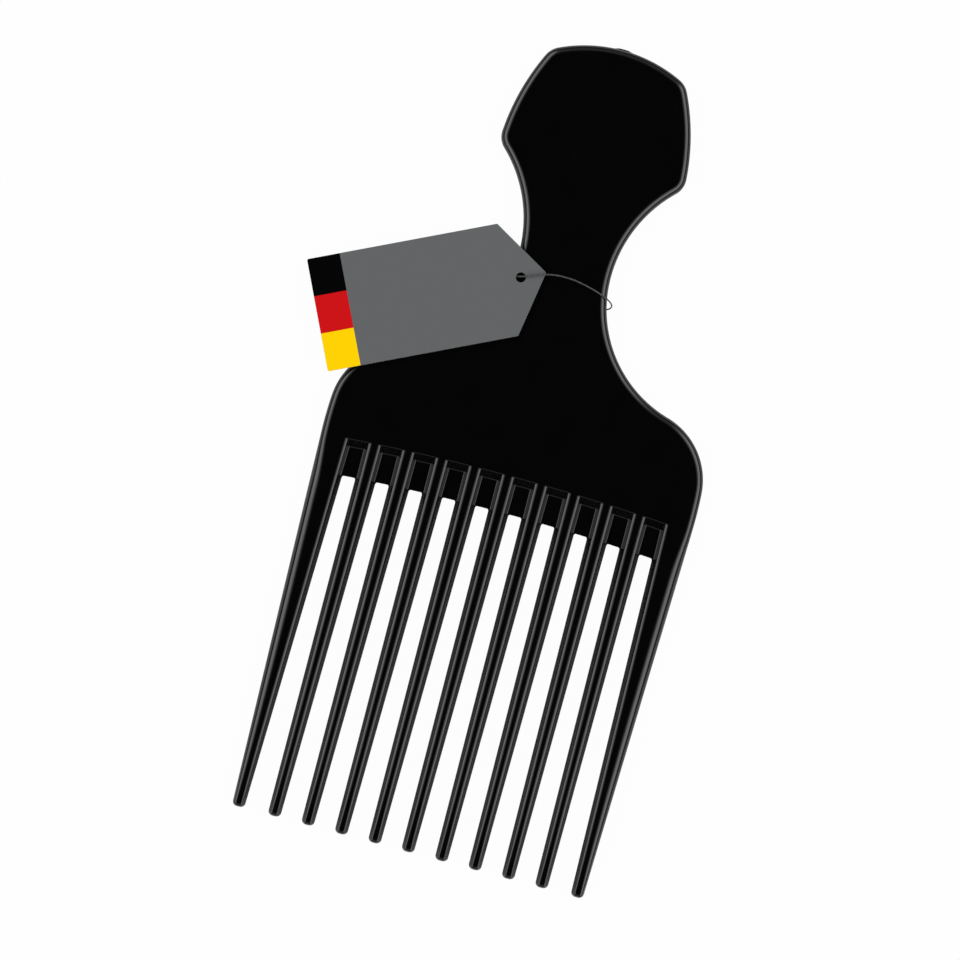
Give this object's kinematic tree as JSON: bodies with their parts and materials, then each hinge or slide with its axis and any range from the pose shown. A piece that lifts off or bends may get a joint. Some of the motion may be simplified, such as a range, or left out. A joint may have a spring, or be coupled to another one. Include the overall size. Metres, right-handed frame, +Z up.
{
  "type": "afro pick",
  "caption": "Flat glossy plastic afro pick with long tapered teeth, a flared shoulder and a waisted paddle handle, with a pointed card swing tag tied to its neck by a thin thread.",
  "frame": {"origin": "on the table under the middle of the comb's length and width, with the pick lying on its back", "axes": "+X across the row of teeth, +Y from the tooth tips to the head, +Z up through the thickness"},
  "size_m": [0.0906, 0.1702, 0.0064],
  "materials": {
    "comb_plastic": "black moulded polystyrene, glossy",
    "tag_card": "printed card, satin",
    "thread": "dark twisted thread"
  },
  "bodies": {
    "comb": {"handle": "comb_plastic", "shoulder": "comb_plastic", "tooth_01": "comb_plastic", "tooth_02": "comb_plastic", "tooth_03": "comb_plastic", "tooth_04": "comb_plastic", "tooth_05": "comb_plastic", "tooth_06": "comb_plastic", "tooth_07": "comb_plastic", "tooth_08": "comb_plastic", "tooth_09": "comb_plastic", "tooth_10": "comb_plastic", "tooth_11": "comb_plastic", "tag_thread": "thread", "thread_knot": "thread"},
    "tag": {"swing_tag": "tag_card"}
  },
  "joints": [
    {"name": "tag_swivel", "type": "hinge", "parent": "comb", "child": "tag", "pos_m": [-0.00805, 0.03452, 0.0056], "axis": [0, 0, 1], "range_deg": [-95, 75]}
  ]
}
